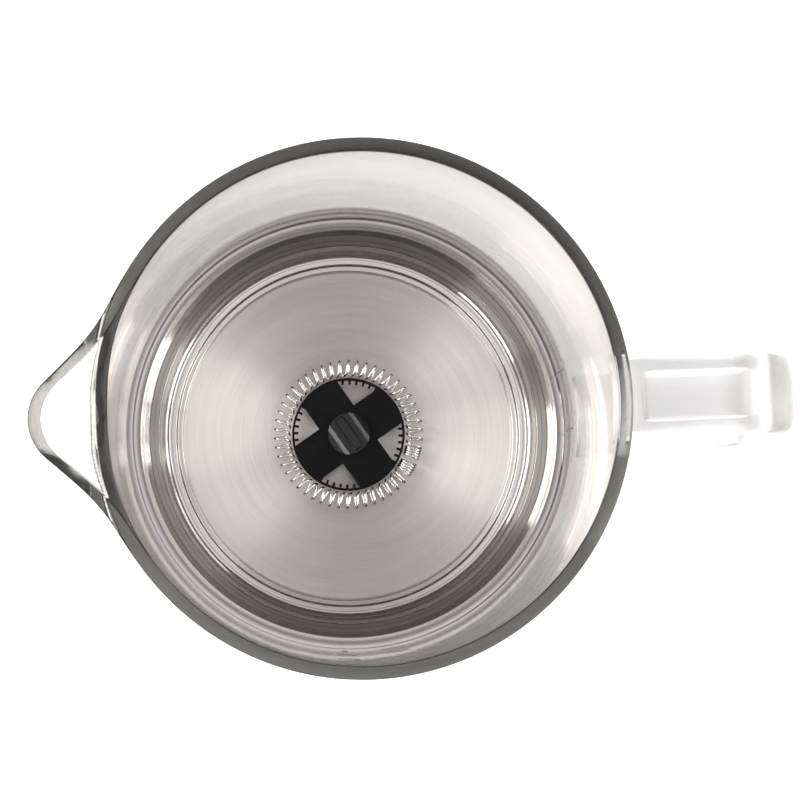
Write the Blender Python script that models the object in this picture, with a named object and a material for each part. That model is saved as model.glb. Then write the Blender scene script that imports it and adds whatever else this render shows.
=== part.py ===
"""Induction milk frother: a clear jug with a steel heating dish and a magnetically driven coil whisk,
standing on a power base that holds the induction coil, the motor and the controls.

Sizes are in millimetres and turned into metres when a mesh is made. Z is up, with z = 0 on the worktop
and the jug, whisk and motor all turning about the Z axis. The handle points along +X, the spout along -X,
and the front of the base with its buttons faces -Y.
"""

import math

import bmesh
import bpy
from mathutils import Matrix, Vector

MM = 0.001
GAP = 0.3  # kept between pieces that rest on or sit in each other

# Driving dimensions ---------------------------------------------------------------------------------
BASE_RADIUS = 58.5
UNDERSIDE_Z = 1.0  # underside of the bottom cover, held up by the feet
SEAT_Z = 53.2  # floor of the recess that the jug stands in
FLOOR_Z = 56.0  # top of the heating dish's floor, inside the jug
RIM_Z = 168.0  # top of the jug
RIM_RADIUS = 58.2  # outside of the jug at its rim
JUG_FOOT_RADIUS = 56.2  # outside of the clear wall at its bottom edge
JUG_WALL = 2.9
SPOUT_REACH = 72.0  # from the axis to the tip of the spout
HANDLE_REACH = 96.5  # from the axis to the outside of the handle
WHISK_TURN = 32.5  # angle of the whisk's first arm at rest, in degrees
COIL_OUTER = 18.7  # outside radius of the whisk's spring
POST_COUNT = 4
POST_CIRCLE = 49.0

COLLECTION = bpy.context.scene.collection


# Scene, materials and mesh helpers ------------------------------------------------------------------
def clear_scene():
    for thing in list(bpy.data.objects):
        bpy.data.objects.remove(thing, do_unlink=True)


def material(name, colour, roughness, metallic=0.0, transmission=0.0):
    made = bpy.data.materials.new(name)
    made.use_nodes = True
    shader = made.node_tree.nodes["Principled BSDF"]
    shader.inputs["Base Color"].default_value = (*colour, 1.0)
    shader.inputs["Roughness"].default_value = roughness
    shader.inputs["Metallic"].default_value = metallic
    shader.inputs["Transmission Weight"].default_value = transmission
    return made


def place(name, work, finish, origin=(0.0, 0.0, 0.0)):
    """Turns a finished bmesh, in millimetres about its own origin, into one named object."""
    bmesh.ops.recalc_face_normals(work, faces=work.faces)
    work.transform(Matrix.Scale(MM, 4))
    mesh = bpy.data.meshes.new(name)
    work.to_mesh(mesh)
    work.free()
    mesh.materials.append(finish)
    mesh.shade_smooth()
    mesh.set_sharp_from_angle(angle=math.radians(35))
    made = bpy.data.objects.new(name, mesh)
    made.location = Vector(origin) * MM
    COLLECTION.objects.link(made)
    return made


def add_rings(work, rings, closed=False):
    """Joins neighbouring rings of vertices with faces. A ring of one vertex is a point on the axis."""
    pairs = list(zip(rings, rings[1:]))
    if closed:
        pairs.append((rings[-1], rings[0]))
    for low, high in pairs:
        count = max(len(low), len(high))
        for k in range(count if count > 1 else 0):
            corners = [low[k % len(low)], low[(k + 1) % len(low)]]
            corners += [high[(k + 1) % len(high)], high[k % len(high)]]
            work.faces.new(list(dict.fromkeys(corners)))


def turned(name, outline, finish, steps=36, origin=(0, 0, 0), along="Z"):
    """A round piece: outline is its closed half section as (radius, height), spun about its axis."""
    work = bmesh.new()
    rings = []
    for radius, height in outline:
        if radius < 1e-6:
            rings.append([work.verts.new((0, 0, height))])
            continue
        angles = [2 * math.pi * k / steps for k in range(steps)]
        rings.append([work.verts.new((radius * math.cos(a), radius * math.sin(a), height)) for a in angles])
    add_rings(work, rings, closed=not (outline[0][0] < 1e-6 and outline[-1][0] < 1e-6))
    if along == "Y":
        work.transform(Matrix.Rotation(math.radians(-90), 4, "X"))
    return place(name, work, finish, origin)


def prism(name, outline, low, high, finish, origin=(0, 0, 0)):
    """A flat outline in X and Y, extruded from low to high."""
    work = bmesh.new()
    rings = [[work.verts.new((x, y, z)) for x, y in outline] for z in (low, high)]
    add_rings(work, rings)
    work.faces.new(rings[0][::-1])
    work.faces.new(rings[1])
    return place(name, work, finish, origin)


def block(name, low, high, finish, origin=(0, 0, 0)):
    """A box between two corners."""
    corners = [(low[0], low[1]), (high[0], low[1]), (high[0], high[1]), (low[0], high[1])]
    return prism(name, corners, low[2], high[2], finish, origin)


def rod(radius, low, high):
    """The half section of a plain cylinder."""
    return [(0, low), (radius, low), (radius, high), (0, high)]


def tube(inner, outer, low, high):
    """The half section of a plain ring."""
    return [(inner, low), (outer, low), (outer, high), (inner, high)]


def on_circle(radius, degrees):
    angle = math.radians(degrees)
    return radius * math.cos(angle), radius * math.sin(angle)


def combine(target, tool, operation):
    """Adds a tool to a piece, or cuts it away, and hides the tool."""
    change = target.modifiers.new(f"{operation.lower()} {tool.name}", "BOOLEAN")
    change.operation = operation
    change.solver = "EXACT"
    change.object = tool
    tool.parent = target.parent
    tool.hide_render = True
    tool.display_type = "WIRE"
    return target


def wire(name, points, radius, finish, sides=0):
    """A round wire along a line of points, with closed ends."""
    curve = bpy.data.curves.new(name, "CURVE")
    curve.dimensions = "3D"
    curve.bevel_depth = radius * MM
    curve.bevel_resolution = sides
    curve.use_fill_caps = True
    spline = curve.splines.new("POLY")
    spline.points.add(len(points) - 1)
    for spot, (x, y, z) in zip(spline.points, points):
        spot.co = (x * MM, y * MM, z * MM, 1.0)
    curve.materials.append(finish)
    made = bpy.data.objects.new(name, curve)
    COLLECTION.objects.link(made)
    return made


clear_scene()
STEEL = material("brushed_steel", (0.62, 0.60, 0.58), 0.28, metallic=1.0)
SPRING_STEEL = material("spring_steel", (0.78, 0.77, 0.75), 0.15, metallic=1.0)
CLEAR = material("clear_jug", (0.95, 0.96, 0.95), 0.02, transmission=1.0)
BLACK = material("black_plastic", (0.012, 0.012, 0.013), 0.4)
GREY = material("grey_plastic", (0.55, 0.54, 0.53), 0.5)
RUBBER = material("grey_rubber", (0.25, 0.25, 0.25), 0.8)
COPPER = material("copper_winding", (0.60, 0.26, 0.12), 0.35, metallic=1.0)
FERRITE = material("ferrite", (0.05, 0.05, 0.055), 0.6)
MAGNET = material("plated_magnet", (0.70, 0.70, 0.68), 0.2, metallic=1.0)
BRASS = material("sintered_bronze", (0.55, 0.40, 0.20), 0.5, metallic=1.0)
BOARD = material("circuit_board", (0.03, 0.20, 0.08), 0.5)
ALUMINIUM = material("aluminium", (0.75, 0.75, 0.76), 0.4, metallic=1.0)


# Base shell: steel sleeve held between the seat moulding and the bottom cover -------------------------
SLEEVE_WALL = 1.2
SLEEVE_BOTTOM, SLEEVE_TOP = 1.6, 50.6
SEAT_PLATE = 2.2
COVER_TOP = 3.6
POST_RADIUS, SCREW_HOLE_RADIUS, SCREW_RADIUS = 3.2, 1.7, 1.4
FOOT_RADIUS, FOOT_CIRCLE, FOOT_TOP = 6.0, 46.0, 2.6
BUTTON_RADIUS, BUTTON_Z, BUTTON_SPACING = 5.0, 28.0, 17.0
GLAND_Z, GLAND_RADIUS = 14.0, 4.6

sleeve_inside = BASE_RADIUS - SLEEVE_WALL
base_sleeve = turned(
    "base_sleeve", tube(sleeve_inside, BASE_RADIUS, SLEEVE_BOTTOM, SLEEVE_TOP), STEEL, steps=48
)
for number in (-1, 0, 1):
    hole = turned(
        f"button_hole_{number + 2}", rod(BUTTON_RADIUS + GAP, -70, -40), BLACK, steps=24,
        origin=(number * BUTTON_SPACING, 0, BUTTON_Z), along="Y",
    )
    combine(base_sleeve, hole, "DIFFERENCE")
gland_hole = turned(
    "gland_hole", rod(GLAND_RADIUS + GAP, 50, 70), BLACK, steps=24, origin=(0, 0, GLAND_Z), along="Y"
)
combine(base_sleeve, gland_hole, "DIFFERENCE")

rim_inside = 56.6
skirt_outside = sleeve_inside - 0.4
base_top = turned(
    "base_top",
    [
        (0, SEAT_Z - SEAT_PLATE),
        (skirt_outside - 1.7, SEAT_Z - SEAT_PLATE),
        (skirt_outside - 1.7, SEAT_Z - SEAT_PLATE - 4.5),
        (skirt_outside, SEAT_Z - SEAT_PLATE - 4.5),
        (skirt_outside, SLEEVE_TOP + GAP),
        (BASE_RADIUS, SLEEVE_TOP + GAP),
        (BASE_RADIUS, FLOOR_Z + 1.0),
        (BASE_RADIUS - 0.5, FLOOR_Z + 1.5),
        (rim_inside, FLOOR_Z + 1.5),
        (rim_inside, SEAT_Z),
        (0, SEAT_Z),
    ],
    GREY,
    steps=48,
)
bottom_cover = turned("bottom_cover", rod(sleeve_inside - 0.4, UNDERSIDE_Z, COVER_TOP), BLACK, steps=48)
for number in range(POST_COUNT):
    spot = (*on_circle(POST_CIRCLE, 45 + 90 * number), 0)
    post = turned(f"post_{number + 1}", rod(POST_RADIUS, COVER_TOP + GAP, SEAT_Z - 1), GREY, 16, spot)
    combine(base_top, post, "UNION")
    bore = turned(f"post_bore_{number + 1}", rod(SCREW_HOLE_RADIUS, 0, 14), BLACK, 12, spot)
    combine(base_top, bore, "DIFFERENCE")
    counterbore = turned(
        f"screw_recess_{number + 1}",
        [(0, 0), (3.2, 0), (3.2, 2.6), (SCREW_HOLE_RADIUS, 2.6), (SCREW_HOLE_RADIUS, 5), (0, 5)],
        BLACK, 16, spot,
    )
    combine(bottom_cover, counterbore, "DIFFERENCE")
    turned(
        f"cover_screw_{number + 1}",
        [(0, 1.2), (2.7, 1.2), (2.7, 2.3), (SCREW_RADIUS, 2.3), (SCREW_RADIUS, 12.5), (0.5, 13.4), (0, 13.4)],
        SPRING_STEEL, 12, spot,
    )
for number in range(4):
    spot = (*on_circle(FOOT_CIRCLE, 90 * number), 0)
    recess = turned(f"foot_recess_{number + 1}", rod(FOOT_RADIUS + GAP, 0, FOOT_TOP + GAP), BLACK, 24, spot)
    combine(bottom_cover, recess, "DIFFERENCE")
    turned(
        f"foot_{number + 1}",
        [(0, 0), (FOOT_RADIUS - 0.5, 0), (FOOT_RADIUS, 0.5), (FOOT_RADIUS, FOOT_TOP), (0, FOOT_TOP)],
        RUBBER, 24, spot,
    )
for side in (-1, 1):
    for row in range(3):
        middle = side * (18 + 5 * row)
        slot = block(f"vent_{side + 2}_{row + 1}", (middle - 1.2, -11, 0), (middle + 1.2, 11, 5), BLACK)
        combine(bottom_cover, slot, "DIFFERENCE")

# The cord's bush: a flanged sleeve with an oblong way through for a flat two-core cord
cord_gland = turned(
    "cord_gland",
    [(0, 53), (GLAND_RADIUS, 53), (GLAND_RADIUS, 58.9), (6.4, 58.9), (6.4, 60.2), (5.2, 61.2), (0, 61.2)],
    BLACK, 24, (0, 0, GLAND_Z), "Y",
)
cord_way = block("cord_way", (-2.9, 50, -1.8), (2.9, 64, 1.8), BLACK, (0, 0, GLAND_Z))
combine(cord_gland, cord_way, "DIFFERENCE")


# Controls: three push buttons over switches on an upright board --------------------------------------
BUTTON_PROUD = 1.2
FLANGE_Y, SWITCH_Y, PANEL_Y = -51.8, -48.1, -44.3
button_board = block("button_board", (-25, PANEL_Y, 20), (25, PANEL_Y + 1.5, 36), BOARD)
for number in (-1, 0, 1):
    across = number * BUTTON_SPACING
    face = -math.sqrt(BASE_RADIUS**2 - across**2) - BUTTON_PROUD
    turned(
        f"mode_button_{number + 2}",
        [
            (0, face),
            (BUTTON_RADIUS - 0.8, face + 0.1),
            (BUTTON_RADIUS, face + 0.9),
            (BUTTON_RADIUS, FLANGE_Y),
            (6.2, FLANGE_Y),
            (6.2, FLANGE_Y + 1),
            (1.6, FLANGE_Y + 1),
            (1.6, FLANGE_Y + 2.3),
            (0, FLANGE_Y + 2.3),
        ],
        GREY, 24, (across, 0, BUTTON_Z), "Y",
    )
    switch = block(
        f"tact_switch_{number + 2}", (-3, SWITCH_Y + 0.9, -3), (3, PANEL_Y - GAP, 3), BLACK,
        (across, 0, BUTTON_Z),
    )
    plunger = turned(
        f"plunger_{number + 2}", rod(1.7, SWITCH_Y, SWITCH_Y + 1.5), BLACK, 12,
        (across, 0, BUTTON_Z), "Y",
    )
    combine(switch, plunger, "UNION")


# Induction heater: litz coil on its bobbin over four ferrite bars -------------------------------------
COIL_LOW, COIL_HIGH = 46.3, 50.2
BOBBIN_LOW, BOBBIN_TOP = 44.4, 46.0
induction_coil = turned(
    "induction_coil",
    [
        (24.0, COIL_LOW), (44.2, COIL_LOW), (44.2, COIL_HIGH - 0.5), (43.7, COIL_HIGH),
        (24.5, COIL_HIGH), (24.0, COIL_HIGH - 0.5),
    ],
    COPPER,
)
coil_bobbin = turned(
    "coil_bobbin",
    [
        (15.6, BOBBIN_LOW), (45.4, BOBBIN_LOW), (45.4, COIL_HIGH), (44.6, COIL_HIGH), (44.6, BOBBIN_TOP),
        (23.6, BOBBIN_TOP), (23.6, COIL_HIGH), (22.4, COIL_HIGH), (22.4, BOBBIN_TOP), (15.6, BOBBIN_TOP),
    ],
    GREY,
)
for number in range(4):
    bar = block(f"ferrite_bar_{number + 1}", (26, -4, 40.4), (43, 4, BOBBIN_LOW - GAP), FERRITE)
    bar.rotation_euler.z = math.radians(90 * number)

# Temperature sensor: a sprung button that is pressed down by the jug's heating dish
SENSOR_X = 19.0
SENSOR_TOP = FLOOR_Z - 1.0 - GAP
sensor_way = turned("sensor_way", rod(2.9, 50, 55), BLACK, 16, (SENSOR_X, 0, 0))
combine(base_top, sensor_way, "DIFFERENCE")
stem_way = turned("stem_way", rod(1.8, 42, 47), BLACK, 16, (SENSOR_X, 0, 0))
combine(coil_bobbin, stem_way, "DIFFERENCE")
turned(
    "sensor_button",
    [
        (0, 42.8), (1.3, 42.8), (1.3, 49.5), (3.0, 49.5), (3.0, 50.5), (2.6, 50.5), (2.6, SENSOR_TOP - 0.4),
        (2.2, SENSOR_TOP), (0, SENSOR_TOP),
    ],
    ALUMINIUM, 16, (SENSOR_X, 0, 0),
)
SPRING_TURNS, SPRING_POINTS, SPRING_LOW, SPRING_HIGH = 3, 10, 46.65, 48.95
spring_path = []
for step in range(SPRING_TURNS * SPRING_POINTS + 1):
    x, y = on_circle(2.2, 360 * step / SPRING_POINTS)
    z = SPRING_LOW + (SPRING_HIGH - SPRING_LOW) * step / (SPRING_TURNS * SPRING_POINTS)
    spring_path.append((SENSOR_X + x, y, z))
wire("sensor_spring", spring_path, 0.25, SPRING_STEEL)


# Motor and magnetic drive ---------------------------------------------------------------------------
CAN_RADIUS, CAN_LOW, CAN_TOP = 13.8, 14.8, 38.4
CAP_LOW, CAP_TOP = 12.0, 16.0
SHAFT_RADIUS = 1.15
BUSH_INNER, BUSH_OUTER = 1.2, 3.0
motor_can = turned(
    "motor_can",
    [
        (CAN_RADIUS - 1, CAN_LOW), (CAN_RADIUS, CAN_LOW), (CAN_RADIUS, CAN_TOP), (BUSH_OUTER + GAP, CAN_TOP),
        (BUSH_OUTER + GAP, CAN_TOP - 1), (CAN_RADIUS - 1, CAN_TOP - 1),
    ],
    ALUMINIUM, 40,
)
motor_end_cap = turned(
    "motor_end_cap",
    [
        (BUSH_OUTER + GAP, CAP_LOW), (CAN_RADIUS, CAP_LOW), (CAN_RADIUS, CAN_LOW - GAP),
        (CAN_RADIUS - 1.4, CAN_LOW - GAP), (CAN_RADIUS - 1.4, CAP_TOP), (BUSH_OUTER + GAP, CAP_TOP),
    ],
    BLACK, 32,
)
turned("motor_bush_lower", tube(BUSH_INNER, BUSH_OUTER, 12.2, 15.8), BRASS, 24)
turned(
    "motor_bush_upper",
    [
        (BUSH_INNER, 35.2), (BUSH_OUTER + 1, 35.2), (BUSH_OUTER + 1, 37.1), (BUSH_OUTER, 37.1),
        (BUSH_OUTER, 40.6), (BUSH_INNER, 40.6),
    ],
    BRASS, 24,
)
MAGNET_ARC = 130
for number, name in enumerate(("left", "right")):
    arc = [MAGNET_ARC * (k / 12 - 0.5) for k in range(13)]
    outline = [on_circle(12.4, a) for a in arc] + [on_circle(9.4, a) for a in arc[::-1]]
    shell = prism(f"stator_magnet_{name}", outline, 18, 34, FERRITE)
    shell.rotation_euler.z = math.radians(180 - 180 * number)
turned(
    "motor_armature",
    [
        (SHAFT_RADIUS + 0.1, 17), (3.2, 17), (3.2, 19.5), (7.0, 19.5), (9.0, 20.5), (9.0, 31.5), (7.0, 33),
        (SHAFT_RADIUS + 0.1, 33),
    ],
    COPPER, 36,
)
turned("motor_shaft", rod(SHAFT_RADIUS, 12.3, 46.8), SPRING_STEEL, 24)

# Bracket: a plate under the bobbin with eyes that slip over the posts
bracket = turned("motor_bracket", tube(BUSH_OUTER + GAP, 16.5, 38.7, 40.1), STEEL, 32)
for number in range(POST_COUNT):
    angle = 45 + 90 * number
    leg = block(f"bracket_leg_{number + 1}", (14, -3, 38.7), (45, 3, 40.1), STEEL)
    leg.rotation_euler.z = math.radians(angle)
    combine(bracket, leg, "UNION")
    spot = (*on_circle(POST_CIRCLE, angle), 0)
    eye = turned(f"bracket_eye_{number + 1}", rod(5.4, 38.7, 40.1), STEEL, 16, spot)
    combine(bracket, eye, "UNION")
    eye_bore = turned(f"eye_bore_{number + 1}", rod(POST_RADIUS + GAP, 30, 45), STEEL, 16, spot)
    combine(bracket, eye_bore, "DIFFERENCE")

DRIVE_CIRCLE = 9.0
magnet_carrier = turned(
    "magnet_carrier",
    [
        (SHAFT_RADIUS + 0.1, 41.2), (3.4, 41.2), (3.4, 43.4), (14.5, 43.4), (14.5, 50.2), (0, 50.2),
        (0, 47.2), (SHAFT_RADIUS + 0.1, 47.2),
    ],
    GREY, 40,
)
for number in range(4):
    spot = (*on_circle(DRIVE_CIRCLE, WHISK_TURN + 90 * number), 0)
    pocket = turned(f"drive_pocket_{number + 1}", rod(4.3, 45.2, 52), GREY, 20, spot)
    combine(magnet_carrier, pocket, "DIFFERENCE")
    turned(f"drive_magnet_{number + 1}", rod(4.0, 45.5, 49.9), MAGNET, 20, spot)


# Power electronics on the control board --------------------------------------------------------------
PCB_LOW, PCB_TOP = 8.0, 9.6
turned("control_board", rod(44.0, PCB_LOW, PCB_TOP), BOARD)
SINK_FINS, FIN_PITCH = 5, 4.6
fins = [(22.0, -10.0)]
for fin in range(SINK_FINS):
    start = -10 + FIN_PITCH * fin
    fins += [(40.0, start), (40.0, start + 1.6), (25.0, start + 1.6), (25.0, start + FIN_PITCH)]
fins = fins[:-1] + [(22.0, -10 + FIN_PITCH * (SINK_FINS - 1) + 1.6)]
fins.remove((25.0, -10 + FIN_PITCH * (SINK_FINS - 1) + 1.6))
prism("heat_sink", fins, PCB_TOP + GAP, 34, ALUMINIUM)
turned("filter_choke", tube(4.0, 9.5, PCB_TOP + GAP, 17.5), COPPER, 32, (-28, -13, 0))
turned(
    "filter_capacitor",
    [(0, PCB_TOP + GAP), (6, PCB_TOP + GAP), (6, 31), (5.4, 31.6), (0, 31.6)],
    BLACK, 24, (-26, 14, 0),
)


# Jug: clear body with spout and handle, steel dish, seal and collar ------------------------------------
WALL_LOW = FLOOR_Z + 14.0
SPOUT_DEPTH, SPOUT_SLOPE = 12.0, 1.3  # its most below the rim, and its run for each unit of rise
SPOUT_TIP_RADIUS, SPOUT_TIP_CENTRE, SPOUT_FLARE = 11.0, SPOUT_REACH - 11.0, 48.0
SPOUT_LINE = SPOUT_TIP_CENTRE * math.cos(math.radians(SPOUT_FLARE)) + SPOUT_TIP_RADIUS
SPOUT_BLEND = 2.0  # how softly the spout's sides run into the round wall
SPOUT_CREASE = 0.12
RIM_ROUNDING = 0.5  # the rim is flat on top, with rounded edges
JUG_STEPS = 56


def spout_bulge(angle):
    """How far the rim's outline stands outside the round rim, at an angle from the spout's middle."""
    side = max(0.0, math.radians(SPOUT_FLARE) - abs(angle))
    reach = SPOUT_LINE / math.cos(side)
    touch = math.atan2(
        SPOUT_TIP_RADIUS * math.sin(math.radians(SPOUT_FLARE)),
        SPOUT_TIP_CENTRE + SPOUT_TIP_RADIUS * math.cos(math.radians(SPOUT_FLARE)),
    )
    if abs(angle) < touch:
        lateral = SPOUT_TIP_CENTRE * math.sin(angle)
        reach = SPOUT_TIP_CENTRE * math.cos(angle) + math.sqrt(SPOUT_TIP_RADIUS**2 - lateral**2)
    beyond = (reach - RIM_RADIUS) / SPOUT_BLEND
    return SPOUT_BLEND * math.log1p(math.exp(beyond)) if beyond < 30 else reach - RIM_RADIUS


def spout_press(height, bulge):
    """How far the spout presses the wall outwards at a height, where it presses the rim out by bulge."""
    depth = bulge / SPOUT_SLOPE + 1.0
    rise = max(0.0, (height - RIM_Z + depth) / depth)
    share = (math.hypot(rise, SPOUT_CREASE) - SPOUT_CREASE) / (math.hypot(1, SPOUT_CREASE) - SPOUT_CREASE)
    return bulge * share


def wall_radius(height):
    """Outside radius of the round wall, which widens evenly from its foot to its rim."""
    share = (height - WALL_LOW) / (RIM_Z - WALL_LOW)
    return JUG_FOOT_RADIUS + (RIM_RADIUS - JUG_FOOT_RADIUS) * share


def jug_section():
    """The wall's closed half section: from the foot up the outside, over the rim and down the inside."""
    heights = [WALL_LOW, WALL_LOW + 29, WALL_LOW + 58, RIM_Z - SPOUT_DEPTH]
    heights += [RIM_Z - SPOUT_DEPTH * share for share in (0.8, 0.6, 0.4, 0.22)] + [RIM_Z - RIM_ROUNDING]
    outside = [(wall_radius(z), z) for z in heights]
    corner = RIM_ROUNDING * (1 - math.sqrt(0.5))
    rim = [(RIM_RADIUS - corner, RIM_Z - corner), (RIM_RADIUS - RIM_ROUNDING, RIM_Z)]
    rim += [(2 * RIM_RADIUS - JUG_WALL - radius, height) for radius, height in rim[::-1]]
    inside = [(wall_radius(z) - JUG_WALL, z) for z in heights[::-1]]
    return outside + rim + inside


def jug_body():
    work = bmesh.new()
    turns = [math.tau * k / JUG_STEPS for k in range(JUG_STEPS)]
    # The steps are closer together at the spout, which is at half a turn.
    angles = [t + 0.4 * math.sin(t) for t in turns]
    rings = []
    for radius, height in jug_section():
        ring = []
        for angle in angles:
            from_spout = (angle % math.tau) - math.pi
            reach = radius + spout_press(height, spout_bulge(from_spout))
            ring.append(work.verts.new((reach * math.cos(angle), reach * math.sin(angle), height)))
        rings.append(ring)
    add_rings(work, rings, closed=True)
    return place("jug_body", work, CLEAR)


HANDLE_THICK, HANDLE_WIDE_ROOT, HANDLE_WIDE_GRIP = 7.5, 20.4, 17.4
HANDLE_TOP_Z, HANDLE_LOW_Z = RIM_Z - 9.0, WALL_LOW + 25.0
HANDLE_BEND = 11.0


def handle_path():
    """The middle line of the handle in X and Z with its direction: out, round, down, round and back in."""
    outer = HANDLE_REACH - HANDLE_THICK / 2
    turn_x = outer - HANDLE_BEND
    corners = [(turn_x, HANDLE_TOP_Z - HANDLE_BEND, 90), (turn_x, HANDLE_LOW_Z + HANDLE_BEND, 0)]
    path = [(wall_radius(HANDLE_TOP_Z) - 1.4, HANDLE_TOP_Z, 0.0)]
    for x, z, start in corners:
        for step in range(7):
            turn = math.radians(start - 90 * step / 6)
            spot = (x + HANDLE_BEND * math.cos(turn), z + HANDLE_BEND * math.sin(turn))
            path.append((*spot, math.degrees(turn) - 90))
    path.append((wall_radius(HANDLE_LOW_Z) - 1.4, HANDLE_LOW_Z, -180.0))
    return path


def handle():
    """A strap of rounded section, wider at its roots than at its grip."""
    work = bmesh.new()
    rings = []
    for x, z, heading in handle_path():
        along = min(1.0, max(0.0, (x - RIM_RADIUS) / (HANDLE_REACH - RIM_RADIUS - HANDLE_THICK)))
        half_wide = (HANDLE_WIDE_ROOT + (HANDLE_WIDE_GRIP - HANDLE_WIDE_ROOT) * along) / 2
        normal = math.radians(heading + 90)
        ring = []
        for k in range(12):
            turn = math.tau * k / 12
            across, up = math.cos(turn), math.sin(turn)
            # A superellipse: flat faces with well rounded edges.
            across, up = (math.copysign(abs(v) ** 0.55, v) for v in (across, up))
            lift = up * HANDLE_THICK / 2
            spot = (x + lift * math.cos(normal), half_wide * across, z + lift * math.sin(normal))
            ring.append(work.verts.new(spot))
        rings.append(ring)
    add_rings(work, rings)
    work.faces.new(rings[0][::-1])
    work.faces.new(rings[-1])
    return place("handle", work, CLEAR)


jug = jug_body()
combine(jug, handle(), "UNION")

FLANGE_RADIUS = 55.9
# The dish's inside from its flat floor up over two rolled steps to its flange, above the floor's level
DISH_INSIDE = [
    (0, 0), (40.95, 0), (41.4, 0.9), (42.6, 1.1), (42.95, 1.9), (44.7, 2.15), (45.1, 2.8),
    (45.7, 3.1), (47.1, 6.0), (49.2, 10.3), (50.6, 11.25), (51.45, 12.0), (FLANGE_RADIUS, 12.0),
]
DISH_OUTSIDE = [
    (FLANGE_RADIUS, 11.0), (51.8, 11.0), (50.0, 9.6), (47.9, 5.4), (46.2, 2.1), (45.5, 1.7),
    (43.5, 0.9), (43.1, 0.1), (41.7, -1.0), (0, -1.0),
]
heating_dish = turned(
    "heating_dish", [(r, FLOOR_Z + z) for r, z in DISH_INSIDE + DISH_OUTSIDE], STEEL, steps=48
)
FLANGE_TOP = FLOOR_Z + 12.0
seal_inside = JUG_FOOT_RADIUS - JUG_WALL + 0.1
turned("jug_seal", tube(seal_inside, FLANGE_RADIUS, FLANGE_TOP + 0.25, WALL_LOW - 0.25), GREY, 48)

# The collar is narrow where it stands in the base's recess, and wide above the base's rim, round the flange
COLLAR_FOOT, COLLAR_STEP, COLLAR_TOP = SEAT_Z + GAP, FLOOR_Z + 2.2, WALL_LOW + 1.6
COLLAR_LOW_RADIUS, COLLAR_RADIUS = 56.0, 58.2
COLLAR_LEDGE = FLANGE_TOP - 1.3
turned(
    "dish_collar",
    [
        (53.0, COLLAR_FOOT), (COLLAR_LOW_RADIUS - 0.6, COLLAR_FOOT), (COLLAR_LOW_RADIUS, COLLAR_FOOT + 0.6),
        (COLLAR_LOW_RADIUS, COLLAR_STEP), (COLLAR_RADIUS - 0.6, COLLAR_STEP),
        (COLLAR_RADIUS, COLLAR_STEP + 0.6), (COLLAR_RADIUS, COLLAR_TOP - 0.6),
        (COLLAR_RADIUS - 0.5, COLLAR_TOP), (56.6, COLLAR_TOP), (56.6, COLLAR_LEDGE), (52.3, COLLAR_LEDGE),
        (52.3, COLLAR_LEDGE - 1.7), (56.4, COLLAR_LEDGE - 1.7), (56.4, COLLAR_STEP + 1.8),
        (54.2, COLLAR_STEP + 1.8), (54.2, COLLAR_FOOT + 1.8), (53.0, COLLAR_FOOT + 1.8),
    ],
    STEEL, 48,
)
SPINDLE_RADIUS = 1.5
turned(
    "whisk_spindle",
    [
        (0, FLOOR_Z + GAP), (4.2, FLOOR_Z + GAP), (4.2, FLOOR_Z + 0.7), (3.4, FLOOR_Z + 1.1),
        (SPINDLE_RADIUS, FLOOR_Z + 1.1), (SPINDLE_RADIUS, FLOOR_Z + 6.6), (1.0, FLOOR_Z + 7.0),
        (0, FLOOR_Z + 7.0),
    ],
    STEEL, 24,
)


# Whisk: spring round a carrier with four arms, turning on a bush that slips over the spindle -----------
WHISK_Z = FLOOR_Z + 4.6  # middle of the spring's section
WIRE_RADIUS = 0.3
COIL_ACROSS, COIL_UP = 1.85, 1.3  # half the spring's section, to the wire's middle line
COIL_MIDDLE = COIL_OUTER - WIRE_RADIUS - COIL_ACROSS
COIL_LEAD = 0.85  # the share of its pitch that a turn takes at the inside, so its outer loop is narrow
COIL_EARLY = 0.5  # how far before the innermost point of a turn that share is taken, in radians
COIL_SQUARE = 0.6  # below 1, the turns are flattened at the inside and outside
COIL_TURNS, COIL_POINTS = 55, 8
COIL_START, COIL_SWEEP = -22.0, 355.0  # degrees: the spring's two ends nearly meet
CLOSE_TURNS, CLOSE_PITCH = 4, 2.2  # turns wound close together at each end, and their pitch in degrees
RING_OUTER, RING_LIP, RING_INNER = 13.9, 14.1, 13.1
CARRIER_TOP, CARRIER_LOW = WHISK_Z + 1.4, WHISK_Z - 1.8
ARM_WIDTH, ARM_REACH = 10.4, 13.3
HUB_RADIUS, HUB_BORE = 5.0, 2.7
KNOB_RADIUS, KNOB_TOP, KNOB_INSIDE = 5.2, FLOOR_Z + 10.9, FLOOR_Z + 8.5


def turn_angle(turns):
    """Where along the ring a point of the spring lies, in degrees, with its end turns wound close."""
    near = CLOSE_TURNS * CLOSE_PITCH
    if turns < CLOSE_TURNS:
        return turns * CLOSE_PITCH
    if turns > COIL_TURNS - CLOSE_TURNS:
        return COIL_SWEEP - (COIL_TURNS - turns) * CLOSE_PITCH
    return near + (COIL_SWEEP - 2 * near) * (turns - CLOSE_TURNS) / (COIL_TURNS - 2 * CLOSE_TURNS)


def coil_path():
    """The spring wire's middle line."""
    path = []
    for step in range(COIL_TURNS * COIL_POINTS + 1):
        turns = step / COIL_POINTS
        round_section = math.tau * turns
        swing = math.sin(round_section + COIL_EARLY) - math.sin(COIL_EARLY)
        lead = turns - COIL_LEAD * swing / math.tau
        angle = COIL_START + turn_angle(min(max(lead, 0.0), COIL_TURNS))
        side = math.cos(round_section)
        x, y = on_circle(COIL_MIDDLE + COIL_ACROSS * math.copysign(abs(side) ** COIL_SQUARE, side), angle)
        path.append((x, y, WHISK_Z + COIL_UP * math.sin(round_section)))
    return path


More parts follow.
